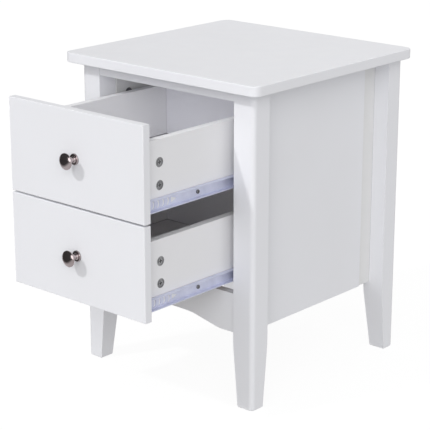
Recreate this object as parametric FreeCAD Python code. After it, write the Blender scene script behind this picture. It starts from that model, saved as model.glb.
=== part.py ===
import FreeCAD, Part
import math
import os

from FreeCAD import Rotation, Vector

# Two-drawer nightstand, in millimetres. +Z is up, the front faces -Y and +X is its right-hand side
# as seen from the front. It is laid out with y = 0 at the front plane of the legs, and moved at the
# end so that the origin is on the floor, in the middle of the whole object with its drawers open.

# ---- overall -------------------------------------------------------------------------------------
HEIGHT = 520.0
TOP_WIDTH = 402.0
TOP_DEPTH = 396.0
TOP_THICK = 16.0
TOP_CORNER_RADIUS = 14.0
TOP_EDGE_RADIUS = 1.5
TOP_FRONT_OVERHANG = 20.8

LEG_SPREAD_X = 361.0
LEG_SPREAD_Y = 374.0
LEG_WIDTH = 39.0
LEG_DEPTH = 36.0
FOOT_WIDTH = 29.5
FOOT_DEPTH = 26.0
TAPER_TOP = 103.0
TAPER_BLEND_RADIUS = 220.0
LEG_CORNER_RADIUS = 8.0
LEG_EDGE_RADIUS = 1.2

# ---- boards of the cabinet -----------------------------------------------------------------------
CARCASE_BOTTOM = 118.6
SIDE_INNER_X = 139.7
SIDE_THICK = 15.0
SIDE_MARGIN = 30.5
SIDE_MARGIN_STEP = 2.3
RAIL_HEIGHT = 17.4
RAIL_DEPTH = 34.0
RAIL_SETBACK = 1.0
APRON_THICK = 15.0
APRON_SETBACK = 3.7
APRON_END_Z = 120.4
APRON_CROWN_Z = 133.9
APRON_RAMP_OUTER_X = 108.0
APRON_RAMP_INNER_X = 51.0
APRON_SHOULDER_Z = 132.9
APRON_SHOULDER_RADIUS = 70.0
APRON_RAMP_RADIUS = 110.0
APRON_CROWN_RADIUS = 1200.0
APRON_TOP_Z = 184.0
BACK_FRONT_Y = 362.0
BACK_THICK = 5.0
GROOVE_DEPTH = 5.0

# ---- drawers -------------------------------------------------------------------------------------
DRAWER_OPEN = 191.7
LOWER_FRONT_Z = 190.3
DRAWER_PITCH = 149.0
FRONT_WIDTH = 280.0
FRONT_HEIGHT = 146.0
FRONT_THICK = 13.0
FRONT_EDGE_RADIUS = 1.2
BOX_OUTER_X = 127.0
BOX_BOARD = 12.0
BOX_INNER_LENGTH = 305.0
BOX_SIDE_LIFT = 11.7
BOX_SIDE_HEIGHT = 104.2
BOX_FLOOR_LIFT = 32.2
BOX_FLOOR_THICK = 5.0
FLOOR_GAP = 1.2
FLOOR_GROOVE_SIDE = 5.0
FLOOR_GROOVE_FRONT = 4.0

# ---- ball-bearing slides -------------------------------------------------------------------------
SLIDE_LENGTH = 300.0
SLIDE_START_Y = 14.0
STEEL = 1.2
OUTER_HEIGHT = 27.0
OUTER_REACH = 10.8
INNER_HEIGHT = 18.5
INNER_REACH = 8.2
INNER_BEND_RADIUS = 1.6
SLIDE_LIFT = 12.0
BALL_DIAMETER = 3.0
BALL_PITCH = 12.0
BALLS_PER_ROW = 6
CAGE_LENGTH = 72.0
CAGE_SHEET = 0.6
STOP_TAB = 2.0
CHEVRON_COUNT = 4
CHEVRON_FIRST = 21.2
CHEVRON_PITCH = 10.2
CHEVRON_RADIUS = 8.5
CHEVRON_BAND = 4.0
CHEVRON_HALF_HEIGHT = 6.4
ARROW_GAP = 3.0
ARROW_LENGTH = 13.6
ARROW_HALF_HEIGHT = 4.8

# ---- fittings ------------------------------------------------------------------------------------
CAM_DIAMETER = 15.0
CAM_DEPTH = 10.0
CAM_FROM_FRONT = 33.4
CAM_LIFTS = (47.9, 82.0)
BOLT_DIAMETER = 6.0
SIDE_CAM_FROM_EDGE = 28.0
SIDE_CAM_HEIGHTS = (171.0, 449.0)
DOWEL_DIAMETER = 8.0
DOWEL_LENGTH = 30.0
KNOB_PROJECTION = 24.0
KNOB_HEAD_RADIUS = 12.75
KNOB_NECK_RADIUS = 4.0
KNOB_FLANGE_RADIUS = 8.5
KNOB_BORE = 12.0
RAIL_DOWEL_SHARES = (0.28, 0.75)
APRON_DOWEL_HEIGHTS = (138.0, 168.0)

# ---- screws: head diameter, head height, shank diameter, length under the head -------------------
KNOB_SCREW = (8.0, 2.6, 4.0, FRONT_THICK + KNOB_BORE - 1)
TOP_SCREW = (7.5, 2.4, 4.0, 20.0)
BACK_SCREW = (7.0, 2.4, 4.0, 34.0)
SLIDE_SCREW = (6.4, 1.8, 3.2, 10.5)
TOP_SCREW_X = 95.0
TOP_SCREW_RECESS = 8.0
BACK_SCREW_INSET = 22.0
WALL_SCREW_SPOTS = (37.0, 165.0, 270.0)
DRAWER_SCREW_SPOTS = (112.8, 245.0)
WELL_CLEARANCE = 0.4

LEG_OUTER_X = LEG_SPREAD_X / 2
LEG_INNER_X = LEG_OUTER_X - LEG_WIDTH
LEG_TOP_Z = HEIGHT - TOP_THICK
REAR_LEG_FRONT_Y = LEG_SPREAD_Y - LEG_DEPTH
SIDE_MID_X = SIDE_INNER_X + SIDE_THICK / 2
BOX_MID_X = BOX_OUTER_X - BOX_BOARD / 2
BALL_ROW_Z = (INNER_HEIGHT / 2 + OUTER_HEIGHT / 2 - STEEL + 0.05) / 2
TOP_FRONT_Y = -TOP_FRONT_OVERHANG
KNOB_TIP_Y = -DRAWER_OPEN - KNOB_PROJECTION
SHIFT_Y = -(KNOB_TIP_Y + TOP_FRONT_Y + TOP_DEPTH) / 2

X, Y, Z = Vector(1, 0, 0), Vector(0, 1, 0), Vector(0, 0, 1)
SIDES = (("left", -1), ("right", 1))
DRAWERS = (("lower", LOWER_FRONT_Z), ("upper", LOWER_FRONT_Z + DRAWER_PITCH))


# ---- helpers -------------------------------------------------------------------------------------
def box(x, y, z):
    """Box from three (low, high) spans."""
    low = Vector(min(x), min(y), min(z))
    return Part.makeBox(abs(x[1] - x[0]), abs(y[1] - y[0]), abs(z[1] - z[0]), low)


def rod(diameter, start, end):
    """Cylinder between two points."""
    return Part.makeCylinder(diameter / 2, (end - start).Length, start, end - start)


def mirrored(shape, side):
    """The shape made on the right (+X) side, or its mirror image on the left."""
    if side > 0:
        return shape
    return shape.mirror(Vector(0, 0, 0), X)


def placed(shape, position, direction):
    """A shape made around +Z, turned to point along direction and moved to position."""
    result = shape.copy()
    result.Placement = FreeCAD.Placement(position, Rotation(Z, direction))
    return result


def rounded_wire(points, radii, to_space):
    """Closed wire through plane points, with each corner rounded by a tangent arc."""
    corners = []
    for index, point in enumerate(points):
        corner = Vector(point[0], point[1], 0)
        back = Vector(*points[index - 1], 0) - corner
        ahead = Vector(*points[(index + 1) % len(points)], 0) - corner
        half_angle = back.getAngle(ahead) / 2
        back.normalize()
        ahead.normalize()
        radius = radii[index]
        reach = radius / math.tan(half_angle)
        if radius == 0:
            corners.append((corner, None, corner))
            continue
        inward = back + ahead
        inward.normalize()
        middle = corner + inward * (radius / math.sin(half_angle) - radius)
        corners.append((corner + back * reach, middle, corner + ahead * reach))
    edges = []
    for index, (start, middle, end) in enumerate(corners):
        following = corners[(index + 1) % len(corners)][0]
        if middle is not None:
            edges.append(Part.Arc(to_space(start), to_space(middle), to_space(end)).toShape())
        edges.append(Part.makeLine(to_space(end), to_space(following)))
    return Part.Wire(edges)


def in_xz(point):
    return Vector(point.x, 0, point.y)


def in_yz(point):
    return Vector(0, point.x, point.y)


def extruded(wire, along):
    return Part.Face(wire).extrude(along)


def edges_where(shape, test):
    """Edges whose vertices all pass the test."""
    return [edge for edge in shape.Edges if all(test(vertex.Point) for vertex in edge.Vertexes)]


def near(value, target):
    return abs(value - target) < 0.01


def cross_recess(head_diameter, low, high):
    """Two crossed slots for a screwdriver."""
    arm = head_diameter * 0.28
    slot = head_diameter * 0.07
    return [box((-x, x), (-y, y), (low, high)) for x, y in ((arm, slot), (slot, arm))]


def shank_and_point(diameter, length):
    shank = Part.makeCylinder(diameter / 2, length - diameter, Vector(0, 0, diameter - length))
    return [shank, Part.makeCone(diameter * 0.1, diameter / 2, diameter, Vector(0, 0, -length))]


def pan_screw(head_diameter, head_height, shank_diameter, length):
    """Screw with a domed head above z = 0, and its shank and point below."""
    head = Part.makeCylinder(head_diameter / 2, head_height)
    head = head.makeFillet(head_height * 0.45, edges_where(head, lambda p: near(p.z, head_height)))
    head = head.cut(cross_recess(head_diameter, head_height * 0.35, head_height + 1))
    return head.fuse(shank_and_point(shank_diameter, length)).removeSplitter()


def flat_screw_hole(head_diameter, head_height, shank_diameter, length):
    """Space that a countersunk screw fills, with its flat face at z = 0 and the rest below."""
    head = Part.makeCone(shank_diameter / 2, head_diameter / 2, head_height, Vector(0, 0, -head_height))
    return head.fuse(shank_and_point(shank_diameter, length)).removeSplitter()


def flat_screw(head_diameter, head_height, shank_diameter, length):
    """Countersunk screw with a cross recess."""
    body = flat_screw_hole(head_diameter, head_height, shank_diameter, length)
    return body.cut(cross_recess(head_diameter, -head_height * 0.6, 1))


def cam_lock():
    """Cam disc with its face at z = 0: raised rim, raised centre, cross recess and bolt pocket."""
    radius = CAM_DIAMETER / 2
    disc = Part.makeCylinder(radius, CAM_DEPTH, Vector(0, 0, -CAM_DEPTH))
    ring = Part.makeCylinder(radius - 1.2, 0.7, Vector(0, 0, -0.7))
    disc = disc.cut(ring.cut(Part.makeCylinder(radius - 3.2, 0.7, Vector(0, 0, -0.7))))
    for span_x, span_y in ((3.0, 0.7), (0.7, 3.0)):
        disc = disc.cut(box((-span_x, span_x), (-span_y, span_y), (-3.0, 1.0)))
    return disc


def cam_pocket(position, direction):
    """Round blind hole that a cam lock fills."""
    return rod(CAM_DIAMETER, position, position - direction * CAM_DEPTH)


def knob():
    """Turned mushroom knob standing on z = 0, with a blind bore for its screw."""
    flange = KNOB_FLANGE_RADIUS
    neck = KNOB_NECK_RADIUS
    head = KNOB_HEAD_RADIUS
    top = KNOB_PROJECTION
    dome_edge = head - 0.8
    dome_rise = 4.6
    dome_radius = (dome_edge ** 2 + dome_rise ** 2) / (2 * dome_rise)
    half_turn = math.asin(dome_edge / dome_radius) / 2

    def at(radius, height):
        return Vector(radius, 0, height)

    dome_middle = at(dome_radius * math.sin(half_turn), top - dome_radius * (1 - math.cos(half_turn)))
    edges = [
        Part.makeLine(at(0, 0), at(flange, 0)),
        Part.makeLine(at(flange, 0), at(flange, 1.4)),
        Part.Arc(at(flange, 1.4), at(flange - 0.3, 2.1), at(flange - 1.0, 2.4)).toShape(),
        Part.makeLine(at(flange - 1.0, 2.4), at(neck + 2.0, 2.4)),
        Part.Arc(at(neck + 2.0, 2.4), at(neck + 0.6, 3.0), at(neck, 4.4)).toShape(),
        Part.makeLine(at(neck, 4.4), at(neck, 11.0)),
        Part.Arc(at(neck, 11.0), at(neck + 1.2, 13.6), at(neck + 4.0, 15.0)).toShape(),
        Part.makeLine(at(neck + 4.0, 15.0), at(head - 1.4, 16.4)),
        Part.Arc(at(head - 1.4, 16.4), at(head, 17.8), at(dome_edge, top - dome_rise)).toShape(),
        Part.Arc(at(dome_edge, top - dome_rise), dome_middle, at(0, top)).toShape(),
        Part.makeLine(at(0, top), at(0, 0)),
    ]
    body = Part.Face(Part.Wire(edges)).revolve(Vector(0, 0, 0), Z, 360)
    return body.cut(rod(KNOB_SCREW[2], Vector(0, 0, 0), Vector(0, 0, KNOB_BORE)))


# ---- cabinet -------------------------------------------------------------------------------------
def leg_blank():
    """Front right leg: outer faces straight, inner faces tapering to the foot."""
    outer = LEG_OUTER_X
    front_view = [
        (outer, 0),
        (outer - FOOT_WIDTH, 0),
        (outer - LEG_WIDTH, TAPER_TOP),
        (outer - LEG_WIDTH, LEG_TOP_Z),
        (outer, LEG_TOP_Z),
    ]
    side_view = [
        (0, 0),
        (FOOT_DEPTH, 0),
        (LEG_DEPTH, TAPER_TOP),
        (LEG_DEPTH, LEG_TOP_Z),
        (0, LEG_TOP_Z),
    ]
    radii = [0, 0, TAPER_BLEND_RADIUS, 0, 0]
    across = extruded(rounded_wire(front_view, radii, in_xz), Y * LEG_DEPTH)
    along = extruded(rounded_wire(side_view, radii, in_yz), X * outer)
    leg = across.common(along)
    corner = edges_where(leg, lambda p: near(p.x, outer) and near(p.y, 0))
    leg = leg.makeFillet(LEG_CORNER_RADIUS, corner)
    foot = edges_where(leg, lambda p: near(p.z, 0))
    return leg.makeChamfer(LEG_EDGE_RADIUS, foot)


def corner_leg(side, rear):
    leg = leg_blank()
    if rear:
        leg = leg.mirror(Vector(0, LEG_SPREAD_Y / 2, 0), Y)
    return mirrored(leg, side)


def top_panel():
    half = TOP_WIDTH / 2
    board = box((-half, half), (TOP_FRONT_Y, TOP_FRONT_Y + TOP_DEPTH), (LEG_TOP_Z, HEIGHT))
    upright = [edge for edge in board.Edges if near(edge.Length, TOP_THICK)]
    board = board.makeFillet(TOP_CORNER_RADIUS, upright)
    loops = [edge for edge in board.Edges if not near(edge.BoundBox.ZLength, TOP_THICK)]
    return board.makeFillet(TOP_EDGE_RADIUS, loops)


def side_panel(side):
    """Board between two legs, with thinner margins next to the legs."""
    outer = SIDE_INNER_X + SIDE_THICK
    board = box((SIDE_INNER_X, outer), (LEG_DEPTH, REAR_LEG_FRONT_Y), (CARCASE_BOTTOM, LEG_TOP_Z))
    margins = (
        (LEG_DEPTH, LEG_DEPTH + SIDE_MARGIN),
        (REAR_LEG_FRONT_Y - SIDE_MARGIN, REAR_LEG_FRONT_Y),
    )
    for margin in margins:
        board = board.cut(box((outer - SIDE_MARGIN_STEP, outer), margin, (CARCASE_BOTTOM, LEG_TOP_Z)))
    return mirrored(board, side)


def top_rail(rear):
    half = LEG_INNER_X
    rail = box((-half, half), (RAIL_SETBACK, RAIL_SETBACK + RAIL_DEPTH), (LEG_TOP_Z - RAIL_HEIGHT, LEG_TOP_Z))
    if rear:
        rail = rail.mirror(Vector(0, LEG_SPREAD_Y / 2, 0), Y)
    return rail


def front_apron():
    """Board under the drawers whose lower edge rises between two shoulders."""
    half = LEG_INNER_X
    right = [
        (half, APRON_END_Z),
        (APRON_RAMP_OUTER_X, APRON_END_Z),
        (APRON_RAMP_INNER_X, APRON_SHOULDER_Z),
    ]
    left = [(-x, z) for x, z in reversed(right)]
    points = right + [(0, APRON_CROWN_Z)] + left + [(-half, APRON_TOP_Z), (half, APRON_TOP_Z)]
    bends = [APRON_SHOULDER_RADIUS, APRON_RAMP_RADIUS]
    radii = [0] + bends + [APRON_CROWN_RADIUS] + bends[::-1] + [0, 0, 0]
    face = rounded_wire(points, radii, in_xz)
    return extruded(face, Y * APRON_THICK).translated(Y * APRON_SETBACK)


def rear_apron():
    half = LEG_INNER_X
    rear = LEG_SPREAD_Y - RAIL_SETBACK
    return box((-half, half), (rear - APRON_THICK, rear), (CARCASE_BOTTOM, APRON_TOP_Z))


def back_panel():
    """Thin board above the rear apron, with its sides in grooves of the rear legs."""
    half = LEG_INNER_X + GROOVE_DEPTH
    return box((-half, half), (BACK_FRONT_Y, BACK_FRONT_Y + BACK_THICK), (APRON_TOP_Z, LEG_TOP_Z - RAIL_HEIGHT))


def rail_dowels():
    """Dowels between the ends of the rails and aprons and the legs."""
    rail_z = LEG_TOP_Z - RAIL_HEIGHT / 2
    apron_y = APRON_SETBACK + APRON_THICK / 2
    rear_apron_y = LEG_SPREAD_Y - RAIL_SETBACK - APRON_THICK / 2
    spots = []
    for inset in [RAIL_DEPTH * share for share in RAIL_DOWEL_SHARES]:
        spots.append((RAIL_SETBACK + inset, rail_z))
        spots.append((LEG_SPREAD_Y - RAIL_SETBACK - inset, rail_z))
    for height in APRON_DOWEL_HEIGHTS:
        spots.append((apron_y, height))
        spots.append((rear_apron_y, height))
    half = DOWEL_LENGTH / 2
    dowels = []
    for side in (-1, 1):
        for y, z in spots:
            start = Vector(side * (LEG_INNER_X - half), y, z)
            dowels.append(rod(DOWEL_DIAMETER, start, start + X * side * DOWEL_LENGTH))
    return dowels


def side_cam_spots():
    """(side, y of the cam, direction from the cam to its leg, height) of each side-panel cam."""
    spots = []
    for side in (-1, 1):
        for z in SIDE_CAM_HEIGHTS:
            spots.append((side, LEG_DEPTH + SIDE_CAM_FROM_EDGE, -1, z))
            spots.append((side, REAR_LEG_FRONT_Y - SIDE_CAM_FROM_EDGE, 1, z))
    return spots


def side_cams():
    """Cam locks on the inner faces of the side panels, their pockets, and the bolts they pull."""
    cams, pockets, bolts = [], [], []
    for side, y, toward, z in side_cam_spots():
        centre = Vector(side * SIDE_MID_X, y, z)
        face = Vector(side * SIDE_INNER_X, y, z)
        bolt = rod(BOLT_DIAMETER, centre, centre + Y * toward * (SIDE_CAM_FROM_EDGE + 10))
        cams.append(placed(cam_lock(), face, X * -side).cut(bolt))
        pockets.append(cam_pocket(face, X * -side))
        bolts.append(bolt)
    return cams, pockets, bolts


def top_screws():
    """Screws up through the two top rails into the top panel."""
    screws = []
    head_z = LEG_TOP_Z - RAIL_HEIGHT + TOP_SCREW_RECESS
    for x in (-TOP_SCREW_X, TOP_SCREW_X):
        for y in (RAIL_SETBACK + RAIL_DEPTH / 2, LEG_SPREAD_Y - RAIL_SETBACK - RAIL_DEPTH / 2):
            screws.append(placed(pan_screw(*TOP_SCREW), Vector(x, y, head_z), -Z))
    return screws


def top_screw_wells():
    """Counterbores under the rails that the heads of the top screws sit in."""
    wells = []
    for item in top_screws():
        centre = item.BoundBox.Center
        low = Vector(centre.x, centre.y, LEG_TOP_Z - RAIL_HEIGHT)
        wells.append(rod(TOP_SCREW[0] + WELL_CLEARANCE, low, low + Z * TOP_SCREW_RECESS))
    return wells


# ---- slides --------------------------------------------------------------------------------------
def slide_centre_z(front_z):
    return front_z + SLIDE_LIFT + INNER_HEIGHT / 2


def channel(height, reach, wall_x, inward, y_span, bend):
    """C-section of sheet steel whose web lies on wall_x and whose lips reach inward."""
    half = height / 2
    far = wall_x + inward * reach
    outer = box((wall_x, far), y_span, (-half, half))
    if bend > 0:
        web_edges = edges_where(outer, lambda p: near(p.x, wall_x))
        long_edges = [edge for edge in web_edges if near(edge.Length, abs(y_span[1] - y_span[0]))]
        outer = outer.makeFillet(bend, long_edges)
    inner_half = half - STEEL
    hollow = box((wall_x + inward * STEEL, far + inward), y_span, (-inner_half, inner_half))
    return outer.cut(hollow)


def cabinet_slide_right():
    """Outer member on the cabinet wall, with a bent tab at each end of its web as a stop."""
    span = (SLIDE_START_Y, SLIDE_START_Y + SLIDE_LENGTH)
    member = channel(OUTER_HEIGHT, OUTER_REACH, SIDE_INNER_X, -1, span, INNER_BEND_RADIUS)
    web_x = SIDE_INNER_X - STEEL
    front_tab = box((web_x, web_x - 1.6), (span[0], span[0] + STOP_TAB), (-6, 6))
    return member.fuse(front_tab).removeSplitter()


def chevron_cuts(start_y, face_x):
    """Crescent slots and one arrow head through the web of the inner member."""
    cuts = []
    depth = STEEL + 2
    base = Vector(face_x - 1, 0, 0)
    high = (-CHEVRON_HALF_HEIGHT, CHEVRON_HALF_HEIGHT)
    window = box((face_x - 1, face_x - 1 + depth), (start_y, start_y + SLIDE_LENGTH), high)
    for index in range(CHEVRON_COUNT):
        tip = start_y + CHEVRON_FIRST + index * CHEVRON_PITCH
        centre = base + Y * (tip - CHEVRON_RADIUS)
        disc = Part.makeCylinder(CHEVRON_RADIUS, depth, centre, X)
        bite = Part.makeCylinder(CHEVRON_RADIUS, depth, centre - Y * CHEVRON_BAND, X)
        cuts.append(disc.cut(bite).common(window))
    tail_y = start_y + CHEVRON_FIRST + (CHEVRON_COUNT - 1) * CHEVRON_PITCH + ARROW_GAP
    arrow = [(tail_y, -ARROW_HALF_HEIGHT), (tail_y + ARROW_LENGTH, 0), (tail_y, ARROW_HALF_HEIGHT)]
    wire = rounded_wire(arrow, [0.6, 0.8, 0.6], in_yz)
    cuts.append(extruded(wire, X * depth).translated(base))
    return cuts


def drawer_slide_right(front_y):
    """Inner member on the drawer's side, ending in a tab that meets the ball cage at full opening."""
    start = front_y + FRONT_THICK + 0.5
    span = (start, start + SLIDE_LENGTH)
    member = channel(INNER_HEIGHT, INNER_REACH, BOX_OUTER_X, 1, span, INNER_BEND_RADIUS)
    web_x = BOX_OUTER_X + STEEL
    tab = box((web_x, SIDE_INNER_X - STEEL - 0.6), (span[1] - STOP_TAB, span[1]), (-5.5, 5.5))
    member = member.fuse(tab).removeSplitter()
    for cut in chevron_cuts(start, BOX_OUTER_X):
        member = member.cut(cut)
    return member


def cage_and_balls_right(drawer_out):
    """Ball retainer and its two rows of balls, half as far out as the drawer."""
    middle = SLIDE_START_Y + SLIDE_LENGTH / 2 - drawer_out / 2
    span = (middle - CAGE_LENGTH / 2, middle + CAGE_LENGTH / 2)
    web = (SIDE_INNER_X - STEEL - 0.5, SIDE_INNER_X - STEEL - 0.5 - CAGE_SHEET)
    strip_half = BALL_ROW_Z + CAGE_SHEET / 2
    cage = box(web, span, (-strip_half, strip_half))
    ball_x = SIDE_INNER_X - 6.5
    balls = []
    for sign in (-1, 1):
        low = sign * BALL_ROW_Z - CAGE_SHEET / 2
        strip = box((web[0], ball_x - 2.6), span, (low, low + CAGE_SHEET))
        cage = cage.fuse(strip)
        for index in range(BALLS_PER_ROW):
            y = middle + (index - (BALLS_PER_ROW - 1) / 2) * BALL_PITCH
            centre = Vector(ball_x, y, sign * BALL_ROW_Z)
            cage = cage.cut(rod(BALL_DIAMETER + 0.4, centre - Z * 2, centre + Z * 2))
            balls.append(Part.makeSphere(BALL_DIAMETER / 2, centre))
    return cage.removeSplitter(), balls


def slide_screws(make, x, y_offsets, start_y, z, into):
    """Screws through a slide member's web; into is the sign of X that they are driven along."""
    heads = [Vector(x, start_y + offset, z) for offset in y_offsets]
    return [placed(make(*SLIDE_SCREW), head, X * -into) for head in heads]


# ---- one drawer ----------------------------------------------------------------------------------
def drawer(name, front_z, front_y):
    """All nodes of one drawer whose front face is at front_y."""
    nodes = {}
    back_of_front = front_y + FRONT_THICK
    rear_end = back_of_front + BOX_INNER_LENGTH + BOX_BOARD
    side_z = (front_z + BOX_SIDE_LIFT, front_z + BOX_SIDE_LIFT + BOX_SIDE_HEIGHT)
    floor_z = (front_z + BOX_FLOOR_LIFT - BOX_FLOOR_THICK, front_z + BOX_FLOOR_LIFT)
    above_floor = floor_z[1] + FLOOR_GAP
    inner_x = BOX_OUTER_X - BOX_BOARD
    floor_x = inner_x + FLOOR_GROOVE_SIDE
    slide_z = slide_centre_z(front_z)

    half = FRONT_WIDTH / 2
    front = box((-half, half), (front_y, back_of_front), (front_z, front_z + FRONT_HEIGHT))
    front = front.makeFillet(FRONT_EDGE_RADIUS, edges_where(front, lambda p: near(p.y, front_y)))
    floor_y = (back_of_front - FLOOR_GROOVE_FRONT, rear_end)
    floor = box((-inner_x, inner_x), (floor_y[0], back_of_front), floor_z)
    floor = floor.fuse(box((-floor_x, floor_x), (back_of_front, rear_end), floor_z)).removeSplitter()
    back = box((-inner_x, inner_x), (rear_end - BOX_BOARD, rear_end), (above_floor, side_z[1]))

    knob_z = front_z + FRONT_HEIGHT / 2
    knob_screw = placed(pan_screw(*KNOB_SCREW), Vector(0, back_of_front, knob_z), Y)
    nodes["knob"] = placed(knob(), Vector(0, front_y, knob_z), -Y)
    nodes["knob_screw"] = knob_screw

    cams, pockets, bolts, back_fixings, member_screws = [], [], [], [], []
    for side in (-1, 1):
        for lift in CAM_LIFTS:
            centre = Vector(side * BOX_MID_X, back_of_front + CAM_FROM_FRONT, front_z + lift)
            bolt = rod(BOLT_DIAMETER, centre - Y * (CAM_FROM_FRONT + 9), centre)
            face = Vector(side * BOX_OUTER_X, centre.y, centre.z)
            cams.append(placed(cam_lock(), face, X * side).cut(bolt))
            pockets.append(cam_pocket(face, X * side))
            bolts.append(bolt)
        for height in (floor_z[1] + BACK_SCREW_INSET, side_z[1] - BACK_SCREW_INSET):
            head = Vector(side * (BOX_OUTER_X - BACK_SCREW[1]), rear_end - BOX_BOARD / 2, height)
            back_fixings.append(placed(pan_screw(*BACK_SCREW), head, X * side))
        screw_x = side * (BOX_OUTER_X + STEEL)
        spots = DRAWER_SCREW_SPOTS
        member_screws += slide_screws(pan_screw, screw_x, spots, back_of_front, slide_z, -side)

    for label, side in SIDES:
        board = box((inner_x, BOX_OUTER_X), (back_of_front, rear_end), side_z)
        groove = box((inner_x, floor_x), (back_of_front, rear_end), (floor_z[0], above_floor))
        board = mirrored(board.cut(groove), side)
        member = drawer_slide_right(front_y).translated(Z * slide_z)
        member = mirrored(member, side)
        for item in pockets + bolts + member_screws + back_fixings:
            board = board.cut(item)
        for item in back_fixings:
            board = board.cut(screw_well(item, side))
        for item in member_screws:
            member = member.cut(item)
        nodes[label + "_side"] = board
        nodes[label + "_slide"] = member
    for item in bolts + [knob_screw, floor]:
        front = front.cut(item)
    for item in back_fixings:
        back = back.cut(item)

    nodes["front"] = front
    nodes["back"] = back
    nodes["bottom"] = floor
    nodes["cam_locks"] = Part.makeCompound(cams)
    nodes["cam_bolts"] = Part.makeCompound(bolts)
    nodes["back_screws"] = Part.makeCompound(back_fixings)
    nodes["slide_screws"] = Part.makeCompound(member_screws)
    return {name + "_drawer_" + key: shape for key, shape in nodes.items()}


def screw_well(item, side):
    """Round recess in a side board that a back screw's head lies in."""
    middle = item.BoundBox.Center
    start = Vector(side * (BOX_OUTER_X - BACK_SCREW[1]), middle.y, middle.z)
    return rod(BACK_SCREW[0] + WELL_CLEARANCE, start, start + X * side * BACK_SCREW[1])


# ---- the whole ------------------------------------------------------------------------------------
def cabinet():
    nodes = {}
    dowels = rail_dowels()
    cams, pockets, bolts = side_cams()
    fixings = top_screws()
    wells = top_screw_wells()
    back = back_panel()

    wall_screws, wall_holes = [], []
    members = {}
    for level, front_z in DRAWERS:
        slide_z = slide_centre_z(front_z)
        for label, side in SIDES:
            member = cabinet_slide_right().translated(Z * slide_z)
            screw_x = side * (SIDE_INNER_X - STEEL)
            where = (screw_x, WALL_SCREW_SPOTS, SLIDE_START_Y, slide_z, side)
            holes = slide_screws(flat_screw_hole, *where)
            members[level + "_" + label + "_cabinet_slide"] = mirrored(member, side).cut(holes)
            wall_screws += slide_screws(flat_screw, *where)
            wall_holes += holes

    for rear, place in ((False, "front"), (True, "rear")):
        for label, side in SIDES:
            leg = corner_leg(side, rear)
            for item in dowels + bolts + [back]:
                if leg.BoundBox.intersect(item.BoundBox):
                    leg = leg.cut(item)
            nodes[place + "_" + label + "_leg"] = leg
        rail = top_rail(rear)
        for item in dowels + fixings + wells:
            if rail.BoundBox.intersect(item.BoundBox):
                rail = rail.cut(item)
        nodes[place + "_top_rail"] = rail
    for name, apron in (("front_apron", front_apron()), ("rear_apron", rear_apron())):
        for item in dowels:
            if apron.BoundBox.intersect(item.BoundBox):
                apron = apron.cut(item)
        nodes[name] = apron
    for label, side in SIDES:
        panel = side_panel(side)
        for item in pockets + bolts + wall_holes:
            if panel.BoundBox.intersect(item.BoundBox):
                panel = panel.cut(item)
        nodes[label + "_side_panel"] = panel

    top = top_panel()
    for item in fixings:
        top = top.cut(item)
    nodes["top_panel"] = top
    nodes["back_panel"] = back
    nodes["rail_dowels"] = Part.makeCompound(dowels)
    nodes["side_cam_locks"] = Part.makeCompound(cams)
    nodes["side_cam_bolts"] = Part.makeCompound(bolts)
    nodes["top_screws"] = Part.makeCompound(fixings)
    nodes["cabinet_slide_screws"] = Part.makeCompound(wall_screws)
    nodes.update(members)
    return nodes


def ball_cages():
    nodes = {}
    for level, front_z in DRAWERS:
        cages, balls = [], []
        for _, side in SIDES:
            cage, row = cage_and_balls_right(DRAWER_OPEN)
            cages.append(mirrored(cage.translated(Z * slide_centre_z(front_z)), side))
            balls += [mirrored(ball.translated(Z * slide_centre_z(front_z)), side) for ball in row]
        nodes[level + "_ball_cages"] = Part.makeCompound(cages)
        nodes[level + "_slide_balls"] = Part.makeCompound(balls)
    return nodes


def main():
    os.makedirs("parts", exist_ok=True)
    nodes = cabinet()
    nodes.update(ball_cages())
    for level, front_z in DRAWERS:
        nodes.update(drawer(level, front_z, -DRAWER_OPEN))
    for name, shape in sorted(nodes.items()):
        shape.translated(Y * SHIFT_Y).exportStep("parts/" + name + ".step")
    print(len(nodes), "nodes, moved by", round(SHIFT_Y, 3), "mm in y")


main()
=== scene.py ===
import math

import bpy
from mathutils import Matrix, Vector


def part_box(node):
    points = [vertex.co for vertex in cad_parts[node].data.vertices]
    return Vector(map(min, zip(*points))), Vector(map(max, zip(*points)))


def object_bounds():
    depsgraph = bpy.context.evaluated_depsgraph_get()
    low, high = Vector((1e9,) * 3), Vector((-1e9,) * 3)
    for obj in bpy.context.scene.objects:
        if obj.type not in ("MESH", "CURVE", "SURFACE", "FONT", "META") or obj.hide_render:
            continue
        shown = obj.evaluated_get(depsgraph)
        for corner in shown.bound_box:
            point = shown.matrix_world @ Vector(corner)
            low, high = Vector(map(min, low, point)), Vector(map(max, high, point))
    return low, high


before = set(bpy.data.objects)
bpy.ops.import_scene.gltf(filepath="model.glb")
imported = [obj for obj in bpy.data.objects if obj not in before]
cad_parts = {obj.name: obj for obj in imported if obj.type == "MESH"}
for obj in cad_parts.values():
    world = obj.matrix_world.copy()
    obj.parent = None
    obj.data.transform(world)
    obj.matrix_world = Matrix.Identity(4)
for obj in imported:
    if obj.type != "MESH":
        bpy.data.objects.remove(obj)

cad_low, cad_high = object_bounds()

# ---- camera, in metres and degrees, in the CAD's own frame ---------------------------------------
CAMERA_TARGET = Vector((0.01755, 0.0180, 0.2640))
CAMERA_AZIMUTH = 41.52
CAMERA_ELEVATION = 17.11
CAMERA_DISTANCE = 2.530
CAMERA_CLIP = (0.1, 30.0)
LENS = 131.46
SENSOR = 36.0

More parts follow.
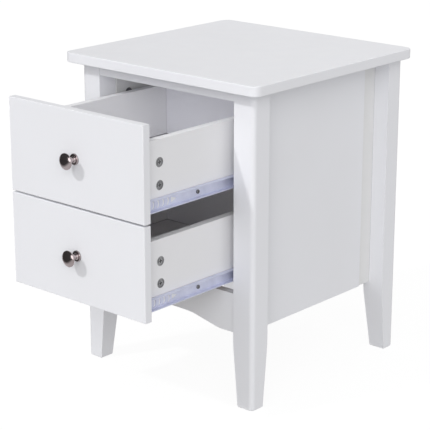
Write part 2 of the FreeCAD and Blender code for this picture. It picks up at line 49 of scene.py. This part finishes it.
# ---- light ---------------------------------------------------------------------------------------
# Each lamp: name, direction of travel, strength, apparent width in degrees, whether it is mirrored.
LAMPS = (
    ("key", (0.40, 1.0, -1.0), 1.02, 2.5, False),
    ("fill", (-0.66, 0.75, -0.40), 1.27, 50.0, True),
)
SKY_BELOW = 0.42
SKY_ABOVE = 0.57
SKY_EDGE = 0.05  # the sine of the height over which the lower half turns into the upper half
# What shiny surfaces mirror: a white set all round, and an unlit room in front.
MIRRORED_SET = 0.74
MIRRORED_ROOM = 0.07
ROOM_SIDE = (-0.53, -0.60, 0.60)
ROOM_EDGE = (0.05, 0.36)
FLOOR_RADIUS = 9.0
FLOOR_CORNERS = 64
FLOOR_GAP = 0.0003
FLOOR_COLOUR = (0.10, 0.10, 0.10)
FLOOR_GLOW = 0.93

# ---- colours, linear; a pair is a dark and a light tone ------------------------------------------
LACQUER = (0.865, 0.870, 0.905)
LACQUER_WORN = (0.80, 0.795, 0.805)
MARGIN = (0.80, 0.80, 0.80)
# painted shade: the grey that corners and joints of boards are darkened towards
JOINT_SHADE = (0.30, 0.29, 0.31)
FOIL = (0.875, 0.872, 0.892)
# painted light: a lighter, bluer copy of the drawer foil for the drawer backs, which lie in shade
LIT_FOIL = (0.93, 0.93, 0.985)
CHIPBOARD = ((0.30, 0.20, 0.11), (0.55, 0.42, 0.27))
THIN_PAINT = (0.88, 0.88, 0.91)
FIBREBOARD = ((0.16, 0.105, 0.065), (0.26, 0.18, 0.115))
FIBRE_EDGE = (0.31, 0.305, 0.315)
BEECH = ((0.46, 0.29, 0.15), (0.64, 0.45, 0.27))
ZINC = ((0.66, 0.68, 0.82), (0.76, 0.78, 0.92))
NICKEL = ((0.40, 0.335, 0.335), (0.52, 0.455, 0.46))
CAM = ((0.26, 0.26, 0.27), (0.50, 0.50, 0.51))
SCREW = ((0.16, 0.16, 0.17), (0.30, 0.30, 0.31))
BALL = ((0.62, 0.63, 0.65), (0.74, 0.75, 0.77))
# painted shade: the near black that recesses in metal parts are darkened towards
RECESS_SHADE = (0.03, 0.03, 0.032)

# ---- sizes on the surfaces, in metres ------------------------------------------------------------
EASED_EDGE = 0.0007
RUBBED_EDGE = 0.0010
# how far from a corner or joint the painted shade reaches
JOINT_SHADE_DEPTH = 0.0018
MARGIN_EDGE = (0.0012, 0.0004)  # how far below a raised face its step is all margin, and not yet margin
GRAIN_STRETCH = 0.03  # the width of grain and streaks, as a part of their length

X, Y, Z = 0, 1, 2


# ---- nodes ---------------------------------------------------------------------------------------
def add_node(tree, kind, inputs, **settings):
    """A node with its settings and its inputs, which are values or other nodes' outputs."""
    made = tree.nodes.new(kind)
    for name, value in settings.items():
        setattr(made, name, value)
    for name, value in inputs.items():
        if isinstance(value, bpy.types.NodeSocket):
            tree.links.new(value, made.inputs[name])
        else:
            made.inputs[name].default_value = value
    return made


def stretched_along(axis):
    """A texture's scale on the three axes, drawn out along one; with no axis it is the same on all."""
    return tuple(GRAIN_STRETCH if index == axis else 1.0 for index in (X, Y, Z))


class Surface:
    """A material being made, with short calls for the nodes that several surfaces share."""

    def __init__(self, name, colour, roughness, metallic=0.0):
        self.material = bpy.data.materials.new(name)
        self.material.use_nodes = True
        self.tree = self.material.node_tree
        self.shader = self.tree.nodes["Principled BSDF"]
        self.set("Base Color", (*colour, 1))
        self.set("Roughness", roughness)
        self.set("Metallic", metallic)
        coordinates = self.tree.nodes.new("ShaderNodeTexCoord")
        self.place = coordinates.outputs["Object"]
        self.facing = coordinates.outputs["Normal"]

    def set(self, socket, value):
        self.shader.inputs[socket].default_value = value

    def feed(self, socket, output):
        self.tree.links.new(output, self.shader.inputs[socket])

    def node(self, kind, inputs, **settings):
        return add_node(self.tree, kind, inputs, **settings)

    def noise(self, scale, detail=3.0, stretch=(1, 1, 1)):
        mapped = self.node("ShaderNodeMapping", {"Vector": self.place, "Scale": stretch})
        inputs = {"Vector": mapped.outputs["Vector"], "Scale": scale, "Detail": detail}
        return self.node("ShaderNodeTexNoise", inputs).outputs["Fac"]

    def cells(self, scale):
        inputs = {"Vector": self.place, "Scale": scale}
        return self.node("ShaderNodeTexVoronoi", inputs).outputs["Distance"]

    def spread(self, value, low, high, from_low=0.3, from_high=0.7):
        """The value's usual range turned into low to high, and held there."""
        inputs = {"Value": value, "From Min": from_low, "From Max": from_high, "To Min": low, "To Max": high}
        return self.node("ShaderNodeMapRange", inputs).outputs["Result"]

    def blend(self, factor, first, second):
        """Colour from first to second; either may be a colour or another node's output."""
        made = self.node("ShaderNodeMix", {}, data_type="RGBA")
        sockets = {"Factor_Float": factor, "A_Color": first, "B_Color": second}
        for socket in made.inputs:
            if socket.identifier not in sockets:
                continue
            value = sockets[socket.identifier]
            if isinstance(value, bpy.types.NodeSocket):
                self.tree.links.new(value, socket)
            else:
                socket.default_value = (*value, 1)
        return next(s for s in made.outputs if s.identifier == "Result_Color")

    def product(self, first, second):
        made = self.node("ShaderNodeMath", {0: first, 1: second}, operation="MULTIPLY")
        return made.outputs["Value"]

    def size_of(self, value):
        return self.node("ShaderNodeMath", {0: value}, operation="ABSOLUTE").outputs["Value"]

    def turned_to(self, axis, sign=0):
        """1 where the surface faces along an axis, both ways or only the sign's way."""
        along = self.node("ShaderNodeSeparateXYZ", {"Vector": self.facing}).outputs[axis]
        along = self.product(along, float(sign)) if sign else self.size_of(along)
        return self.spread(along, 0.0, 1.0, from_low=0.85, from_high=0.95)

    def sunk(self, axis, level):
        """1 where the surface lies nearer to the middle than a raised face at the level, 0 on that face."""
        away = self.size_of(self.node("ShaderNodeSeparateXYZ", {"Vector": self.place}).outputs[axis])
        deep, shallow = MARGIN_EDGE
        return self.spread(away, 1.0, 0.0, from_low=level - deep, from_high=level - shallow)

    def edges(self, radius):
        """1 on sharp edges, 0 on open faces."""
        rounded = self.node("ShaderNodeBevel", {"Radius": radius}, samples=6)
        flat = self.node("ShaderNodeNewGeometry", {})
        inputs = {0: rounded.outputs["Normal"], 1: flat.outputs["Normal"]}
        likeness = self.node("ShaderNodeVectorMath", inputs, operation="DOT_PRODUCT")
        return self.spread(likeness.outputs["Value"], 1.0, 0.0, from_low=0.86, from_high=0.99)

    def painted_shade_mask(self, distance):
        """1 deep in recesses, 0 in the open: where ambient occlusion finds shade, used to paint shade into
        colours.
        """
        shade = self.node("ShaderNodeAmbientOcclusion", {"Distance": distance}, samples=8)
        return self.spread(shade.outputs["AO"], 1.0, 0.0, from_low=0.3, from_high=0.85)

    def clouded(self, tone, scale, most):
        """The tone with soft patches of the worn one, none at the least and most at the most."""
        return self.blend(self.spread(self.noise(scale, detail=4.0), 0.0, most), tone, LACQUER_WORN)

    def with_painted_joint_shade(self, tone, strength):
        """The tone, darkened towards grey by painted shade in corners, where boards meet and in the grooves
        between them.
        """
        return self.blend(self.product(self.painted_shade_mask(JOINT_SHADE_DEPTH), strength), tone, JOINT_SHADE)

    def bump(self, height, distance, strength=1.0, under=None):
        inputs = {"Height": height, "Distance": distance, "Strength": strength}
        if under is not None:
            inputs["Normal"] = under
        return self.node("ShaderNodeBump", inputs).outputs["Normal"]


# ---- materials -----------------------------------------------------------------------------------
def lacquer(name, grain=None, raised_x=None):
    """Satin white lacquer, with a sprayed skin and, on solid wood, a trace of the grain below.

    grain is the axis along the wood. raised_x is the distance from the middle of a board's raised
    face; what lies deeper is coloured a slightly darker grey.
    """
    paint = Surface(name, LACQUER, roughness=0.36)
    paint.set("Coat Weight", 0.12)
    paint.set("Coat Roughness", 0.18)
    tone = paint.clouded(LACQUER, scale=7.0, most=0.16)
    patches = paint.spread(paint.noise(120.0), 0.1, 0.6)
    tone = paint.blend(paint.product(paint.edges(RUBBED_EDGE), patches), tone, LACQUER_WORN)
    if raised_x is not None:
        tone = paint.blend(paint.sunk(X, raised_x), tone, MARGIN)
    # painted shade in corners and joints
    paint.feed("Base Color", paint.with_painted_joint_shade(tone, strength=0.5))
    paint.feed("Roughness", paint.spread(paint.noise(45.0, detail=5.0), 0.30, 0.44))
    skin = paint.bump(paint.noise(700.0, detail=2.0), distance=0.00003)
    if grain is not None:
        lines = paint.noise(380.0, detail=4.0, stretch=stretched_along(grain))
        skin = paint.bump(lines, distance=0.00005, strength=0.6, under=skin)
    paint.feed("Normal", skin)
    return paint.material


def foil_board(name, foil, cut_axis):
    """White foil on chipboard, whose chips show on the ends that face along cut_axis."""
    board = Surface(name, foil, roughness=0.5)
    tone = board.clouded(foil, scale=9.0, most=0.2)
    chips = board.blend(board.spread(board.cells(420.0), 0.0, 1.0, from_low=0.1, from_high=0.8), *CHIPBOARD)
    tone = board.blend(board.turned_to(cut_axis), tone, chips)
    # painted shade in corners and joints
    board.feed("Base Color", board.with_painted_joint_shade(tone, strength=0.3))
    board.feed("Roughness", board.spread(board.noise(60.0, detail=4.0), 0.42, 0.58))
    pores = board.noise(520.0, detail=5.0, stretch=(1.0, 0.35, 1.0))
    board.feed("Normal", board.bump(pores, distance=0.00005, strength=0.8))
    return board.material


def thin_board(name, raw_axis, raw_sign):
    """Fibreboard painted on one face, with a brown raw face behind and grey raw edges."""
    board = Surface(name, THIN_PAINT, roughness=0.5)
    fibres = board.noise(300.0, detail=6.0, stretch=(1.0, 0.4, 1.0))
    raw = board.blend(board.spread(fibres, 0.0, 1.0), *FIBREBOARD)
    painted = board.clouded(THIN_PAINT, scale=10.0, most=0.2)
    tone = board.blend(board.turned_to(raw_axis), FIBRE_EDGE, painted)
    tone = board.blend(board.turned_to(raw_axis, raw_sign), tone, raw)
    # painted shade in corners and joints
    board.feed("Base Color", board.with_painted_joint_shade(tone, strength=0.8))
    board.feed("Roughness", board.spread(board.noise(80.0, detail=4.0), 0.45, 0.65))
    board.feed("Normal", board.bump(fibres, distance=0.00008, strength=0.7))
    return board.material


def beech():
    wood = Surface("raw_beech", BEECH[1], roughness=0.6)
    rays = wood.noise(260.0, detail=5.0, stretch=(0.08, 1.0, 1.0))
    wood.feed("Base Color", wood.blend(wood.spread(rays, 0.0, 1.0), *BEECH))
    wood.feed("Roughness", wood.spread(wood.noise(90.0), 0.5, 0.7))
    wood.feed("Normal", wood.bump(rays, distance=0.0001, strength=0.7))
    return wood.material


def metal(name, tones, roughness, streak=None, recess_shade_depth=0.0, polish=0.0, metallic=1.0):
    """Plated or cast metal.

    streak is the axis along which it was drawn; the depth given for recesses is how deep they must be to get
    painted shade, darkened towards near black; and polish how much of the streaks' relief is gone.
    """
    plate = Surface(name, tones[1], roughness[0], metallic)
    streaks = plate.noise(420.0, detail=4.0, stretch=stretched_along(streak))
    tone = plate.blend(plate.spread(plate.noise(55.0, detail=4.0), 0.0, 1.0), *tones)
    if recess_shade_depth:
        # painted shade: recesses darkened towards near black
        tone = plate.blend(plate.product(plate.painted_shade_mask(recess_shade_depth), 0.85), tone, RECESS_SHADE)
    plate.feed("Base Color", tone)
    plate.feed("Roughness", plate.spread(streaks, *roughness))
    plate.feed("Normal", plate.bump(streaks, distance=0.00003, strength=0.9 - polish))
    return plate.material


def paint_nodes():
    """One material for each node of the CAD model, by the first ending that its name has."""
    raised_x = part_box("right_side_panel")[1][X]
    zinc = metal("bright_zinc", ZINC, (0.42, 0.58), streak=Y, metallic=0.5)
    by_ending = (
        (("drawer_left_side", "drawer_right_side"), foil_board("drawer_side_board", FOIL, cut_axis=Y)),
        # the drawer backs take the lighter copy of the foil, painted light
        ("drawer_back", foil_board("drawer_back_board", LIT_FOIL, cut_axis=X)),
        ("drawer_bottom", thin_board("drawer_bottom_board", raw_axis=Z, raw_sign=-1)),
        ("back_panel", thin_board("cabinet_back_board", raw_axis=Y, raw_sign=1)),
        ("rail_dowels", beech()),
        # the knob, screw and cam metals paint shade into their recesses
        ("_knob", metal("polished_nickel", NICKEL, (0.10, 0.20), recess_shade_depth=0.0030, polish=0.6)),
        ("_balls", metal("ball_steel", BALL, (0.08, 0.14), polish=0.7)),
        (("_screws", "_screw"), metal("screw_zinc", SCREW, (0.28, 0.45), recess_shade_depth=0.0012)),
        ("cam_locks", metal("cast_cam_zinc", CAM, (0.35, 0.55), recess_shade_depth=0.0016)),
        (("cam_bolts", "_slide", "_cages"), zinc),
        ("_side_panel", lacquer("white_lacquer_panel", raised_x=raised_x)),
        ("_leg", lacquer("white_lacquer_upright", grain=Z)),
        (("_rail", "_apron"), lacquer("white_lacquer_level", grain=X)),
        ("", lacquer("white_lacquer")),
    )
    for name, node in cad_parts.items():
        material = next(made for ending, made in by_ending if name.endswith(ending))
        node.data.materials.clear()
        node.data.materials.append(material)


# ---- shapes --------------------------------------------------------------------------------------
def smooth_shading():
    """A modifier's node group that shades every face smooth and leaves the mesh itself alone."""
    group = bpy.data.node_groups.new("smooth_shading", "GeometryNodeTree")
    group.interface.new_socket("Geometry", in_out="INPUT", socket_type="NodeSocketGeometry")
    group.interface.new_socket("Geometry", in_out="OUTPUT", socket_type="NodeSocketGeometry")
    entry = add_node(group, "NodeGroupInput", {})
    shade = add_node(group, "GeometryNodeSetShadeSmooth", {"Geometry": entry.outputs[0]})
    add_node(group, "NodeGroupOutput", {0: shade.outputs["Geometry"]})
    return group


def ease_edges(node, width, smooth):
    """Small rounding of a board's sharp edges, so that they catch the light."""
    weld = node.modifiers.new("join_corners", "WELD")
    weld.merge_threshold = 1e-5
    merge = node.modifiers.new("join_flat_faces", "DECIMATE")
    merge.decimate_type = "DISSOLVE"
    merge.angle_limit = math.radians(0.3)
    bevel = node.modifiers.new("ease_edges", "BEVEL")
    bevel.width = width
    bevel.segments = 2
    bevel.limit_method = "ANGLE"
    bevel.angle_limit = math.radians(40)
    shading = node.modifiers.new("smooth_shading", "NODES")
    shading.node_group = smooth
    normals = node.modifiers.new("even_normals", "WEIGHTED_NORMAL")
    normals.keep_sharp = False


def ease_boards():
    """The top and back panels stay as they are: one is rounded already, the other is in a groove."""
    boards = ("_leg", "_side_panel", "_rail", "_apron", "_side", "drawer_back", "drawer_front")
    smooth = smooth_shading()
    for name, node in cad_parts.items():
        if name.endswith(boards):
            ease_edges(node, EASED_EDGE, smooth)


# ---- studio --------------------------------------------------------------------------------------
def make_floor():
    """A pale disc that glows evenly, takes soft shadows and throws no light on the object."""
    mesh = bpy.data.meshes.new("floor")
    ring = [2 * math.pi * index / FLOOR_CORNERS for index in range(FLOOR_CORNERS)]
    points = [(FLOOR_RADIUS * math.cos(turn), FLOOR_RADIUS * math.sin(turn), 0) for turn in ring]
    mesh.from_pydata(points, [], [range(FLOOR_CORNERS)])
    paper = Surface("floor_paper", FLOOR_COLOUR, roughness=0.9)
    paper.set("Emission Color", (1, 1, 1, 1))
    paper.set("Emission Strength", FLOOR_GLOW)
    paper.set("Specular IOR Level", 0.0)
    mesh.materials.append(paper.material)
    floor = bpy.data.objects.new("floor", mesh)
    floor.location.z = cad_low.z - FLOOR_GAP
    floor.visible_diffuse = False
    floor.visible_glossy = False
    bpy.context.scene.collection.objects.link(floor)


def make_sky():
    """Soft light from above and, weaker, from below; plain white behind the object."""
    world = bpy.data.worlds.new("studio")
    bpy.context.scene.world = world
    world.use_nodes = True
    tree = world.node_tree
    direction = add_node(tree, "ShaderNodeTexCoord", {}).outputs["Generated"]
    ray = add_node(tree, "ShaderNodeLightPath", {}).outputs

    up = add_node(tree, "ShaderNodeSeparateXYZ", {"Vector": direction}).outputs["Z"]
    halves = {"From Min": -SKY_EDGE, "From Max": SKY_EDGE, "To Min": SKY_BELOW, "To Max": SKY_ABOVE}
    sky = add_node(tree, "ShaderNodeMapRange", {"Value": up, **halves}).outputs["Result"]

    sides = {0: direction, 1: ROOM_SIDE}
    toward_room = add_node(tree, "ShaderNodeVectorMath", sides, operation="DOT_PRODUCT").outputs["Value"]
    edge = {"From Min": ROOM_EDGE[0], "From Max": ROOM_EDGE[1]}
    room = {"Value": toward_room, **edge, "To Min": MIRRORED_SET, "To Max": MIRRORED_ROOM}
    mirrored = add_node(tree, "ShaderNodeMapRange", room).outputs["Result"]

    # Inputs 2 and 3 of a Mix node are the two numbers that it mixes.
    mixed = {"Factor": ray["Is Glossy Ray"], 2: sky, 3: mirrored}
    light = add_node(tree, "ShaderNodeMix", mixed).outputs["Result"]
    seen = add_node(tree, "ShaderNodeMath", {0: ray["Is Camera Ray"], 1: light}, operation="MAXIMUM")
    background = tree.nodes["Background"]
    background.inputs["Color"].default_value = (1, 1, 1, 1)
    tree.links.new(seen.outputs["Value"], background.inputs["Strength"])


def make_lamps():
    for name, direction, strength, width, mirrored in LAMPS:
        light = bpy.data.lights.new(name, "SUN")
        light.energy = strength
        light.angle = math.radians(width)
        lamp = bpy.data.objects.new(name, light)
        lamp.rotation_mode = "QUATERNION"
        lamp.rotation_quaternion = Vector(direction).to_track_quat("-Z", "Y")
        lamp.visible_glossy = mirrored
        bpy.context.scene.collection.objects.link(lamp)


def make_camera():
    data = bpy.data.cameras.new("camera")
    data.lens = LENS
    data.sensor_width = SENSOR
    data.clip_start, data.clip_end = CAMERA_CLIP
    camera = bpy.data.objects.new("camera", data)
    azimuth, elevation = math.radians(CAMERA_AZIMUTH), math.radians(CAMERA_ELEVATION)
    across = math.cos(elevation)
    back = Vector((math.sin(azimuth) * across, -math.cos(azimuth) * across, math.sin(elevation)))
    camera.location = CAMERA_TARGET + back * CAMERA_DISTANCE
    camera.rotation_mode = "QUATERNION"
    camera.rotation_quaternion = (-back).to_track_quat("-Z", "Y")
    bpy.context.scene.collection.objects.link(camera)
    bpy.context.scene.camera = camera


paint_nodes()
ease_boards()
make_floor()
make_sky()
make_lamps()
make_camera()
bpy.context.scene.view_settings.view_transform = "Standard"
